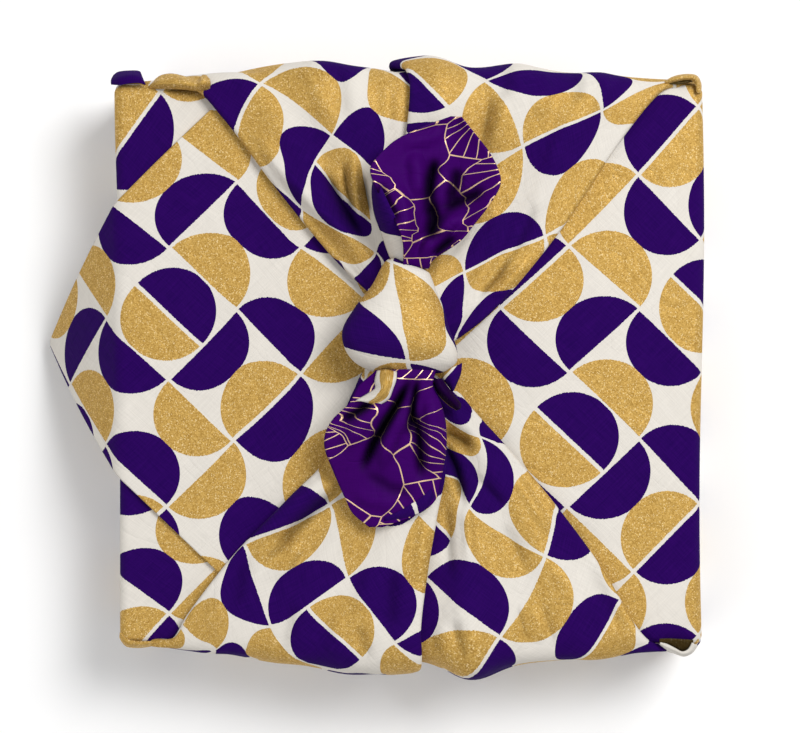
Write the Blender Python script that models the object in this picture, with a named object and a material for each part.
"""Furoshiki wrap: one square cloth folded round a flat parcel and tied on top.

Lengths are millimetres until a mesh is made. The origin is the centre of the
parcel's underside, +X runs to the right of the wrap, +Y to its far gather.
"""
import math

import bmesh
import bpy
import numpy as np

MM = 0.001

# Parcel, from the outer faces of its cloth
HALF_X = 133.0
CLOTH = 1.6
EAR_CLOTH = 1.2
LINING = 0.8
SKIN_GAP = 0.3

# Mid-surface levels of the two flaps that lie on top
FIRST_TOP = 57.4
SECOND_TOP = 59.5
WALL_X = HALF_X - CLOTH / 2
TUCK_X = WALL_X - 2.4
FLOOR_Z = CLOTH / 2

# Radii of the folded edges
FOOT_RADIUS = 3.0
FIRST_RADIUS = 4.0
SECOND_RADIUS = 5.0
TUCK_RADIUS = 3.0
DRAPE_RADIUS = 8.5

# Second flap: its slanting edges and the corner that hangs over the left side
SECOND_FAR_EDGE = (78.8, 127.0)
SECOND_NEAR_EDGE = (54.0, -127.0)
CORNER_RUN = 195.0
CORNER_Y = 10.0
TIP_HALF = 2.0
DRAPE_X = 137.0
DRAPE_TURN = math.radians(53.0)
DRAPE_LENGTH = 58.8

# First flap: where its edges start to slant, and its tucked corner
FIRST_SLANT_X = 66.0
TUCKED_Y = -6.0
TUCKED_HALF = 3.0
TUCKED_END_Z = 6.0

# Turned-down ends of the flaps: where the turn starts, where it ends, and the
# reach and depth of its three points; the first flap's turn lies inside the second's
END_Y = 124.0
EDGE_Y = 127.0
MARGIN_STEPS = ((126.2, 0.8), (127.0, 3.0), (127.0, 10.0))
MARGIN_AT_FOLD = (0.7, 1.6, 2.6)
FLOOR_END_Y = 127.4
STRIP_COLUMNS = 8
NEST_STEP = 2.2
NEST_END_X = -110.0

# Rolled-under side edges of the gathers
RIM_STEP = 1.3
RIM_LENGTH = 6.0

# Share of the thickness that a gather keeps inside the floor
FLOOR_SHARE = 0.62

PRINT_WHITE = (0.80, 0.77, 0.72, 1.0)
LINING_VIOLET = (0.055, 0.004, 0.16, 1.0)


def clear_scene():
    for item in list(bpy.data.objects):
        bpy.data.objects.remove(item, do_unlink=True)


def cloth_material(name, colour, roughness):
    material = bpy.data.materials.new(name)
    material.use_nodes = True
    shader = material.node_tree.nodes["Principled BSDF"]
    shader.inputs["Base Color"].default_value = colour
    shader.inputs["Roughness"].default_value = roughness
    shader.inputs["Metallic"].default_value = 0.0
    material.diffuse_color = colour
    return material


def smooth(value, low, high):
    ratio = np.clip((value - low) / (high - low), 0.0, 1.0)
    return ratio * ratio * (3.0 - 2.0 * ratio)


def settle(grid):
    """Shift all layers together, so the parcel is a little uneven."""
    x, y, z = grid[..., 0], grid[..., 1], grid[..., 2]
    upper = smooth(z, 6.0, 50.0)
    left = smooth(-x, 60.0, 130.0)
    shift_x = -2.6 * left * smooth(y, 20.0, 125.0) * upper
    shift_x = shift_x + 1.0 * smooth(x, 90.0, 133.0) * upper * np.sin(y * 0.024)
    shift_z = 0.5 * upper * (np.sin(x * 0.031 + 0.6) + np.cos(y * 0.027 - x * 0.012))
    return np.stack((x + shift_x, y, z + shift_z), axis=-1)


def sheet_object(name, grid, thickness, material, thin_rows=0):
    """Closed thin body from a grid of mid-surface points."""
    rows, columns = grid.shape[:2]
    mesh = bmesh.new()
    verts = [[mesh.verts.new(tuple(point * MM)) for point in row] for row in grid]
    for r in range(rows - 1):
        for c in range(columns - 1):
            mesh.faces.new((verts[r][c], verts[r][c + 1], verts[r + 1][c + 1], verts[r + 1][c]))
    data = bpy.data.meshes.new(name)
    mesh.to_mesh(data)
    mesh.free()
    item = bpy.data.objects.new(name, data)
    bpy.context.collection.objects.link(item)
    data.materials.append(material)
    data.polygons.foreach_set("use_smooth", [True] * len(data.polygons))
    solid = item.modifiers.new("Thickness", "SOLIDIFY")
    solid.thickness = thickness * MM
    solid.offset = 0.0
    solid.use_quality_normals = True
    if thin_rows:
        add_thin_rows(item, solid, columns, thin_rows)
    return item


def add_thin_rows(item, solid, columns, thin_rows):
    """Thin the first rows, which lie inside the floor's own thickness."""
    group = item.vertex_groups.new(name="full_thickness")
    total = len(item.data.vertices)
    for index in range(total):
        row = index // columns
        group.add([index], float(np.clip((row - thin_rows) * 0.5, 0.0, 1.0)), "REPLACE")
    solid.vertex_group = "full_thickness"
    solid.thickness_vertex_group = FLOOR_SHARE


def arc(centre, radius, start, stop, count):
    angles = np.radians(np.linspace(start, stop, count))
    return [(centre[0] + radius * math.cos(a), centre[1] + radius * math.sin(a)) for a in angles]


def wrap_path():
    """Rows of the strip that runs right round the parcel: (x, z, zone)."""
    rows = []
    for z in (TUCKED_END_Z, 20.0, 36.0, 48.0):
        rows.append((TUCK_X, z, "tucked"))
    centre = (TUCK_X - TUCK_RADIUS, FIRST_TOP - TUCK_RADIUS)
    rows += [(x, z, "fold") for x, z in arc(centre, TUCK_RADIUS, 0, 90, 4)]
    rows += [(x, FIRST_TOP, "first") for x in (112.0, 90.0, 67.5, 54.0, 27.0, 0.0, -36.0, -72.0, -100.0, -116.0)]
    centre = (FIRST_RADIUS - WALL_X, FIRST_TOP - FIRST_RADIUS)
    rows += [(x, z, "fold") for x, z in arc(centre, FIRST_RADIUS, 90, 180, 4)]
    rows += [(-WALL_X, z, "wall") for z in (42.0, 28.0, 14.0)]
    centre = (FOOT_RADIUS - WALL_X, FLOOR_Z + FOOT_RADIUS)
    rows += [(x, z, "foot") for x, z in arc(centre, FOOT_RADIUS, 180, 270, 4)]
    rows += [(x, FLOOR_Z, "floor") for x in (-118.0, -60.0, 0.0, 60.0, 118.0)]
    centre = (WALL_X - FOOT_RADIUS, FLOOR_Z + FOOT_RADIUS)
    rows += [(x, z, "foot") for x, z in arc(centre, FOOT_RADIUS, 270, 360, 4)]
    rows += [(WALL_X, z, "wall") for z in (14.0, 28.0, 42.0)]
    centre = (WALL_X - SECOND_RADIUS, SECOND_TOP - SECOND_RADIUS)
    rows += [(x, z, "fold") for x, z in arc(centre, SECOND_RADIUS, 0, 90, 4)]
    tops = (112.0, 84.0, 56.0, 28.0, 0.0, -26.0, -44.0, -54.4, -66.0, -79.2, -92.0, -106.0, -118.0)
    rows += [(x, SECOND_TOP, "second") for x in tops]
    return rows + drape_rows()


def drape_rows():
    """Rows of the second flap's corner, over the left edge and down."""
    centre = (DRAPE_RADIUS - DRAPE_X, SECOND_TOP - DRAPE_RADIUS)
    turn = 90.0 + math.degrees(DRAPE_TURN)
    rows = [(x, z, "drape") for x, z in arc(centre, DRAPE_RADIUS, 90, turn, 4)]
    x, z, _ = rows[-1]
    for length in (9.0, 20.0, 31.0, 42.0, 51.0, DRAPE_LENGTH):
        bow = 1.6 * math.sin(math.pi * length / DRAPE_LENGTH)
        reach = math.cos(DRAPE_TURN) * length + math.sin(DRAPE_TURN) * bow
        drop = math.sin(DRAPE_TURN) * length - math.cos(DRAPE_TURN) * bow
        rows.append((x - reach, z - drop, "drape"))
    return rows


def path_normals(points):
    """Unit vectors to the inside of the wrap, in the XZ plane."""
    ahead = np.gradient(points, axis=0)
    ahead /= np.linalg.norm(ahead, axis=1)[:, None]
    return np.stack((-ahead[:, 1], ahead[:, 0]), axis=1)


def run_lengths(points):
    steps = np.linalg.norm(np.diff(points, axis=0), axis=1)
    return np.concatenate(((0.0,), np.cumsum(steps)))


def second_edges(run):
    """Y of the second flap's two edges, by its run left of X = 0."""
    far_run, far_y = SECOND_FAR_EDGE
    near_run, near_y = SECOND_NEAR_EDGE
    far_share = max(0.0, run - far_run) / (CORNER_RUN - far_run)
    near_share = max(0.0, run - near_run) / (CORNER_RUN - near_run)
    far = far_y + (CORNER_Y + TIP_HALF - far_y) * far_share
    near = near_y + (CORNER_Y - TIP_HALF - near_y) * near_share
    return near, far


def first_edges(run):
    """Y of the first flap's two edges, by its run right of X = 0."""
    end = TUCK_X + FIRST_TOP - TUCKED_END_Z - 1.3
    share = max(0.0, run - FIRST_SLANT_X) / (end - FIRST_SLANT_X)
    near = -EDGE_Y + (TUCKED_Y - TUCKED_HALF + EDGE_Y) * share
    far = EDGE_Y + (TUCKED_Y + TUCKED_HALF - EDGE_Y) * share
    return near, far


def strip_grid():
    """Both flaps, two side walls and the floor, as one grid."""
    rows = wrap_path()
    points = np.array([(x, z) for x, z, _ in rows])
    normals = path_normals(points)
    runs = run_lengths(points)
    first_zero = next(i for i, row in enumerate(rows) if row[2] == "first" and row[0] == 0.0)
    second_zero = next(i for i, row in enumerate(rows) if row[2] == "second" and row[0] == 0.0)
    grid = []
    for i, (x, z, zone) in enumerate(rows):
        near, far = -EDGE_Y, EDGE_Y
        if i < first_zero:
            near, far = first_edges(runs[first_zero] - runs[i])
        if i > second_zero:
            near, far = second_edges(runs[i] - runs[second_zero])
        grid.append(strip_row((x, z), normals[i], near, far, zone))
    return np.array(grid)


def strip_row(point, normal, near, far, zone):
    """One row across: turned end, main run, turned end."""
    spacing = min(1.0, (far - near) / 13.0)
    low_end = edge_points(point, normal, near, -1.0, zone, spacing)
    high_end = edge_points(point, normal, far, 1.0, zone, spacing)
    inner = np.linspace(low_end[-1][1], high_end[-1][1], STRIP_COLUMNS)[1:-1]
    main = [(point[0], y, point[1]) for y in inner]
    return low_end + main + high_end[::-1]


def edge_points(point, normal, edge, side, zone, spacing):
    """Four points at one end of a row, the outermost first."""
    x, z = point
    inset = abs(edge) < EDGE_Y - 0.1
    nest = NEST_STEP if zone == "first" and x > NEST_END_X else 0.0
    if inset or zone in ("floor", "foot"):
        tip = side * min(side * edge, EDGE_Y - nest) if inset else side * FLOOR_END_Y
        return [(x, tip - side * back * spacing, z) for back in (0.0, 1.0, 2.2, 3.4)]
    if zone in ("fold", "drape"):
        depths = MARGIN_AT_FOLD
    else:
        depths = tuple(depth for _, depth in MARGIN_STEPS)
    outer = []
    for (reach, _), depth in zip(MARGIN_STEPS, depths):
        outer.append((x + normal[0] * depth, side * (reach - nest), z + normal[1] * depth))
    return outer[::-1] + [(x, side * (END_Y - nest), z)]


# Rails of the far gather, a row per section: place along it, then the left and
# right edge as x, y, z, and how far its middle arches outwards
FAR_RAILS = (
    (0.00, -126.0, 120.0, 0.8, 126.0, 120.0, 0.8, 0.0),
    (0.03, -126.0, 126.0, 0.8, 126.0, 126.0, 0.8, 0.0),
    (0.07, -128.0, 129.4, 3.8, 128.0, 129.4, 3.8, 0.0),
    (0.13, -131.0, 131.4, 12.0, 131.0, 131.4, 12.0, 0.6),
    (0.25, -133.5, 132.2, 28.0, 133.5, 132.0, 28.0, 1.6),
    (0.36, -133.5, 132.2, 43.0, 133.5, 132.0, 43.0, 2.6),
    (0.44, -121.0, 131.8, 54.0, 127.0, 131.8, 54.0, 3.6),
    (0.50, -98.0, 128.5, 62.5, 118.0, 129.5, 61.5, 4.4),
    (0.56, -84.0, 113.0, 65.0, 109.0, 121.0, 65.0, 3.6),
    (0.66, -62.0, 83.0, 64.8, 92.0, 99.0, 64.6, 3.0),
    (0.78, -36.0, 51.0, 65.2, 68.0, 63.0, 64.8, 3.5),
    (0.90, -20.0, 35.0, 67.0, 38.0, 27.0, 66.5, 4.5),
    (1.00, -10.0, 27.0, 71.0, 14.0, 8.0, 70.5, 3.0),
)

# Rails of the near gather, with y measured towards the viewer
NEAR_RAILS = (
    (0.00, -126.0, 120.0, 0.8, 126.0, 120.0, 0.8, 0.0),
    (0.03, -126.0, 126.0, 0.8, 126.0, 126.0, 0.8, 0.0),
    (0.07, -128.0, 129.4, 3.8, 128.0, 129.4, 3.8, 0.0),
    (0.13, -131.0, 131.4, 12.0, 131.0, 131.4, 12.0, 0.6),
    (0.25, -132.5, 132.0, 28.0, 133.5, 132.0, 28.0, 2.5),
    (0.36, -132.0, 132.0, 43.0, 133.0, 132.0, 43.0, 4.5),
    (0.44, -123.0, 131.6, 54.0, 125.0, 131.8, 54.0, 6.0),
    (0.50, -109.0, 128.5, 62.5, 112.0, 129.5, 61.5, 5.5),
    (0.56, -100.0, 114.0, 65.0, 102.0, 121.0, 65.0, 3.5),
    (0.66, -80.0, 88.0, 64.8, 86.0, 94.0, 64.6, 2.5),
    (0.78, -54.0, 61.0, 65.2, 64.0, 64.0, 64.8, 2.5),
    (0.88, -36.0, 42.0, 66.5, 42.0, 38.0, 65.5, 3.5),
    (0.95, -27.0, 18.0, 69.0, 24.0, 18.0, 68.0, 4.0),
    (1.00, -16.0, -4.0, 72.0, 10.0, -2.0, 71.0, 2.0),
)

# Ridges of a gather, a row per fold: place across it, height and half width
# (as a share of the width), each at the wall, the shoulder, mid-way, the knot
FAR_RIDGES = (
    (0.10, 0.10, 0.11, 0.14, 0.0, 2.0, 4.0, 3.0, 0.050, 0.050, 0.060, 0.090),
    (0.20, 0.21, 0.26, 0.34, 0.8, 1.5, 3.2, 2.5, 0.050, 0.045, 0.060, 0.080),
    (0.30, 0.28, 0.34, 0.44, 3.0, 4.5, 0.6, 0.0, 0.090, 0.070, 0.070, 0.080),
    (0.51, 0.51, 0.48, 0.52, 2.0, 3.2, 2.0, 1.5, 0.060, 0.050, 0.060, 0.090),
    (0.67, 0.68, 0.66, 0.68, 1.5, 3.0, 2.2, 2.0, 0.050, 0.050, 0.060, 0.080),
    (0.84, 0.86, 0.84, 0.86, 0.8, 2.5, 2.0, 2.0, 0.040, 0.036, 0.050, 0.080),
)
NEAR_RIDGES = (
    (0.09, 0.09, 0.10, 0.14, 0.0, 1.2, 4.4, 3.0, 0.050, 0.045, 0.055, 0.090),
    (0.24, 0.24, 0.25, 0.32, 1.0, 2.0, 2.6, 2.0, 0.060, 0.060, 0.060, 0.080),
    (0.38, 0.38, 0.40, 0.46, 2.5, 5.0, 2.0, 1.5, 0.080, 0.070, 0.060, 0.080),
    (0.53, 0.51, 0.51, 0.54, 0.0, 0.5, 3.6, 2.5, 0.040, 0.040, 0.035, 0.060),
    (0.60, 0.61, 0.64, 0.68, 4.0, 7.0, 2.0, 1.5, 0.060, 0.055, 0.055, 0.080),
    (0.84, 0.86, 0.86, 0.86, 0.6, 1.6, 2.4, 2.0, 0.050, 0.045, 0.055, 0.090),
)

# The far gather's overlapped fold: place across, then the overlap in mm
FAR_TUCK = ((0.48, 0.475, 0.385, 0.40), (0.0, 7.0, 6.0, 3.0))
TUCK_LIFT = 2.7
TUCK_SPREAD = 1.3
KEY_PLACES = (0.25, 0.50, 0.75, 1.00)
GATHER_ROWS = (0.0, 0.03, 0.05, 0.07, 0.10, 0.14, 0.20, 0.25, 0.30, 0.34, 0.38, 0.42, 0.46, 0.50,
               0.54, 0.59, 0.65, 0.71, 0.78, 0.84, 0.90, 0.95, 1.0)
MAIN_COLUMNS = 30


def at_place(values, place):
    """A ridge's value at a place along the gather, eased between its keys."""
    for i in range(3):
        if place < KEY_PLACES[i + 1]:
            share = smooth(place, KEY_PLACES[i], KEY_PLACES[i + 1])
            return values[i] + (values[i + 1] - values[i]) * share
    return values[3]


def rail_row(rails, place):
    """Left edge, right edge and arch, on a smooth curve through the rails."""
    table = np.array(rails)
    places = table[:, 0]
    i = int(np.clip(np.searchsorted(places, place, side="right") - 1, 0, len(places) - 2))
    before = table[max(i - 1, 0)]
    after = table[min(i + 2, len(places) - 1)]
    low, high = table[i], table[i + 1]
    span = high[0] - low[0]
    u = (place - low[0]) / span
    slope_low = (high - before) / max(high[0] - before[0], 1e-6) * span
    slope_high = (after - low) / max(after[0] - low[0], 1e-6) * span
    value = ((2 * u ** 3 - 3 * u ** 2 + 1) * low + (u ** 3 - 2 * u ** 2 + u) * slope_low
             + (3 * u ** 2 - 2 * u ** 3) * high + (u ** 3 - u ** 2) * slope_high)
    return value[1:4], value[4:7], value[7]


def gather_frame(rails, place):
    """Edges, section direction and outward normal at a place."""
    left, right, arch = rail_row(rails, place)
    ahead_l, ahead_r, _ = rail_row(rails, min(place + 0.01, 1.0))
    behind_l, behind_r, _ = rail_row(rails, max(place - 0.01, 0.0))
    ahead = (ahead_l + ahead_r - behind_l - behind_r) * 0.5
    normal = np.array((0.0, ahead[2], -ahead[1]))
    across = (right - left) / np.linalg.norm(right - left)
    normal -= across * normal.dot(across)
    return left, right, arch, across, normal / np.linalg.norm(normal)


def ridge_height(ridges, place, share):
    total = 0.0
    growth = smooth(place, 0.10, 0.25)
    for row in ridges:
        centre = at_place(row[0:4], place)
        height = at_place(row[4:8], place) * growth
        width = at_place(row[8:12], place)
        total = total + height * np.exp(-((share - centre) / width) ** 2)
    return total


def tuck_columns(tuck, place, width):
    """Shares and lifts of the six points that turn the overlapped fold."""
    centre = at_place(tuck[0], place)
    overlap = at_place(tuck[1], place)
    raised = smooth(place, 0.10, 0.20)
    turned = smooth(place, 0.18, 0.44)
    flat = np.array((-5.0, -3.0, -1.0, 1.0, 3.0, 5.0)) * TUCK_SPREAD
    folded = np.array((overlap, overlap + 1.5, overlap, 0.0, -1.5, 0.0))
    even = np.array((-1.0, -0.6, -0.2, 0.2, 0.6, 1.0))
    layered = np.array((-1.0, -0.5, 0.0, 0.0, 0.5, 1.0))
    lifts = (even + (layered - even) * turned ** 2) * TUCK_LIFT * raised
    shares = centre + (flat * (1.0 - turned) + folded * turned) / width
    return shares, lifts


def main_columns(tuck, place, width):
    """Shares across the gather and the lift of each column."""
    if tuck is None:
        return np.linspace(0.0, 1.0, MAIN_COLUMNS), np.zeros(MAIN_COLUMNS)
    shares, lifts = tuck_columns(tuck, place, width)
    reach = 16.0 / width
    left = np.linspace(0.0, shares[0], MAIN_COLUMNS // 2)[:-1]
    right = np.linspace(shares[5], 1.0, MAIN_COLUMNS // 2)[1:]
    lift_left = lifts[0] * smooth(left, shares[3] - reach, shares[3])
    lift_right = lifts[5] * (1.0 - smooth(right, shares[0] + 0.2 * reach, shares[0] + 1.6 * reach))
    return np.concatenate((left, shares, right)), np.concatenate((lift_left, lifts, lift_right))


def rim_points(start, outward, normal, turn, length):
    """Three points that roll a side edge under, the outermost last."""
    point = np.array(start)
    points = []
    for share, step in ((0.33, RIM_STEP), (0.67, RIM_STEP), (1.0, length)):
        angle = turn * share
        point = point + step * (outward * math.cos(angle) - normal * math.sin(angle))
        points.append(point)
    return points


def gather_row(rails, ridges, tuck, place):
    left, right, arch, across, normal = gather_frame(rails, place)
    width = np.linalg.norm(right - left)
    shares, lifts = main_columns(tuck, place, width)
    bow = arch * (1.0 - np.abs(2.0 * np.clip(shares, 0.0, 1.0) - 1.0) ** 2.6)
    edge = np.minimum(smooth(shares, 0.0, 0.05), 1.0 - smooth(shares, 0.95, 1.0))
    height = bow + ridge_height(ridges, place, shares) * edge + lifts
    main = left + np.outer(shares, right - left) + np.outer(height, normal)
    turn = math.pi * float(smooth(place, 0.04, 0.16))
    length = 1.6 + (RIM_LENGTH - 1.6) * float(smooth(place, 0.12, 0.25))
    low = rim_points(main[0], -across, normal, turn, length)
    high = rim_points(main[-1], across, normal, turn, length)
    return np.array(low[::-1] + list(main) + high)


def gather_grid(rails, ridges, tuck, side):
    grid = np.array([gather_row(rails, ridges, tuck, place) for place in GATHER_ROWS])
    grid[..., 1] *= side
    return grid


# Knot, a row per section: y, middle x, half width, top z, underside z
KNOT_SECTIONS = (
    (47.0, -1.6, 8.0, 83.0, 72.0),
    (43.0, -2.0, 10.5, 86.5, 68.0),
    (33.0, -3.0, 14.5, 90.5, 65.5),
    (25.0, -5.0, 19.5, 93.0, 64.6),
    (16.0, -6.8, 23.4, 94.0, 64.2),
    (8.0, -5.0, 24.8, 93.0, 64.4),
    (1.5, -2.7, 23.0, 89.0, 66.0),
    (-2.2, -1.5, 18.0, 84.5, 69.5),
    (-3.8, -0.5, 13.0, 81.0, 73.0),
)
KNOT_SIDES = 18


def knot_object(material):
    """Rounded bundle of the tied ends, lofted through its sections."""
    mesh = bmesh.new()
    rings = []
    for y, middle, half, top, under in KNOT_SECTIONS:
        ring = []
        for k in range(KNOT_SIDES):
            angle = 2.0 * math.pi * k / KNOT_SIDES
            cos, sin = math.cos(angle), math.sin(angle)
            x = middle + half * math.copysign(abs(cos) ** 0.8, cos)
            z = (top + under) / 2 + (top - under) / 2 * math.copysign(abs(sin) ** 0.8, sin)
            ring.append(mesh.verts.new((x * MM, y * MM, z * MM)))
        rings.append(ring)
    for low, high in zip(rings, rings[1:]):
        for k in range(KNOT_SIDES):
            after = (k + 1) % KNOT_SIDES
            mesh.faces.new((low[k], low[after], high[after], high[k]))
    mesh.faces.new(rings[0])
    mesh.faces.new(rings[-1][::-1])
    bmesh.ops.recalc_face_normals(mesh, faces=mesh.faces)
    data = bpy.data.meshes.new("knot")
    mesh.to_mesh(data)
    mesh.free()
    item = bpy.data.objects.new("knot", data)
    bpy.context.collection.objects.link(item)
    data.materials.append(material)
    data.polygons.foreach_set("use_smooth", [True] * len(data.polygons))
    return item


# Ears, a row per section: y, left x, right x, left z, trough z, right z,
# trough place across, outward belly of the left side
UPPER_EAR = (
    (40.0, -7.0, 7.0, 81.0, 79.0, 81.0, 0.50, 0.0),
    (46.4, -6.0, 9.5, 84.0, 80.0, 84.0, 0.50, 3.0),
    (54.1, -3.7, 20.5, 91.0, 78.0, 88.0, 0.45, 8.0),
    (61.8, -5.5, 26.8, 95.0, 76.5, 90.0, 0.45, 8.0),
    (70.5, -10.5, 33.2, 96.0, 76.0, 92.0, 0.48, 5.5),
    (79.1, -14.6, 37.5, 94.0, 76.5, 92.0, 0.48, 2.6),
    (86.5, -16.4, 36.2, 91.0, 78.0, 91.0, 0.50, 0.6),
    (93.7, -11.4, 32.7, 89.0, 80.0, 90.0, 0.55, 0.0),
    (99.6, -5.0, 28.6, 87.5, 81.5, 89.0, 0.60, 0.0),
    (104.1, 4.0, 25.5, 86.5, 83.0, 88.0, 0.65, 0.0),
    (109.6, 17.6, 21.8, 86.0, 85.6, 86.5, 0.60, 0.0),
)
LOWER_EAR = (
    (4.0, -12.0, 10.0, 80.0, 80.5, 80.0, 0.5, 0.0),
    (-3.0, -15.0, 10.0, 79.5, 82.5, 80.0, 0.5, 0.0),
    (-10.0, -22.5, 8.5, 80.0, 85.0, 81.0, 0.55, 0.0),
    (-17.0, -26.0, 11.6, 80.0, 85.0, 81.0, 0.55, 0.0),
    (-24.0, -33.0, 13.4, 79.0, 84.0, 80.0, 0.55, 0.0),
    (-31.0, -36.8, 14.0, 78.0, 83.0, 79.0, 0.52, 0.0),
    (-38.0, -37.0, 13.9, 77.0, 82.0, 78.0, 0.50, 0.0),
    (-46.0, -34.2, 12.8, 76.0, 80.5, 77.0, 0.50, 0.0),
    (-54.0, -31.0, 11.4, 75.5, 79.0, 76.5, 0.50, 0.0),
    (-61.0, -28.0, 9.6, 75.0, 77.5, 76.0, 0.50, 0.0),
    (-67.0, -25.2, 2.5, 74.8, 76.2, 75.5, 0.50, 0.0),
    (-73.0, -18.6, -13.0, 74.6, 75.0, 74.8, 0.50, 0.0),
)
EAR_SHARES = np.linspace(0.0, 1.0, 13)


def ear_row(section, shares):
    """Points across an ear, from its left edge to its right one."""
    y, left, right, z_left, z_mid, z_right, trough, belly = section
    points = []
    for share in shares:
        if share < trough:
            side = 1.0 - share / trough
            z = z_mid + (z_left - z_mid) * side ** 2
        else:
            side = (share - trough) / (1.0 - trough)
            z = z_mid + (z_right - z_mid) * side ** 2
        x = left + (right - left) * share
        x -= belly * math.sin(math.pi * min(share / 0.32, 1.0))
        points.append((x, y, z))
    return points


def ear_grid(table):
    return np.array([ear_row(section, EAR_SHARES) for section in table])


def grid_normals(grid):
    along = np.gradient(grid, axis=0)
    across = np.gradient(grid, axis=1)
    normals = np.cross(across, along)
    normals /= np.linalg.norm(normals, axis=2)[..., None]
    if normals[..., 2].mean() < 0.0:
        normals = -normals
    return normals


def lining_object(name, grid, material, first_row):
    """Skin that lies on an ear's inner side, a little in from its edges."""
    lift = EAR_CLOTH / 2 + SKIN_GAP + LINING / 2 + 0.02
    skin = grid + grid_normals(grid) * lift
    skin = skin[first_row:]
    edge = skin[:, [0, -1]]
    middle = skin[:, 6:7]
    skin[:, [0, -1]] = edge + (middle - edge) * 0.03
    skin[-1] = skin[-1] + (skin[-2] - skin[-1]) * 0.12
    return sheet_object(name, skin, LINING, material)


def join_cloth(base, parts):
    """Unite the cloth's stretches, so it is one body."""
    for part in parts:
        union = base.modifiers.new("Join " + part.name, "BOOLEAN")
        union.operation = "UNION"
        union.solver = "EXACT"
        union.object = part
        part.hide_render = True
        part.display_type = "WIRE"


def build():
    clear_scene()
    printed = cloth_material("printed_cotton", PRINT_WHITE, 0.8)
    violet = cloth_material("lining_cotton", LINING_VIOLET, 0.6)
    wrap = sheet_object("wrap_cloth", settle(strip_grid()), CLOTH, printed)
    far = settle(gather_grid(FAR_RAILS, FAR_RIDGES, FAR_TUCK, 1.0))
    near = settle(gather_grid(NEAR_RAILS, NEAR_RIDGES, None, -1.0))
    upper = settle(ear_grid(UPPER_EAR))
    lower = settle(ear_grid(LOWER_EAR))
    parts = [
        sheet_object("far_gather", far, CLOTH, printed, 2),
        sheet_object("near_gather", near, CLOTH, printed, 2),
        knot_object(printed),
        sheet_object("upper_ear", upper, EAR_CLOTH, printed),
        sheet_object("lower_ear", lower, EAR_CLOTH, printed),
    ]
    join_cloth(wrap, parts)
    lining_object("upper_ear_lining", upper, violet, 2)
    lining_object("lower_ear_lining", lower, violet, 2)


build()
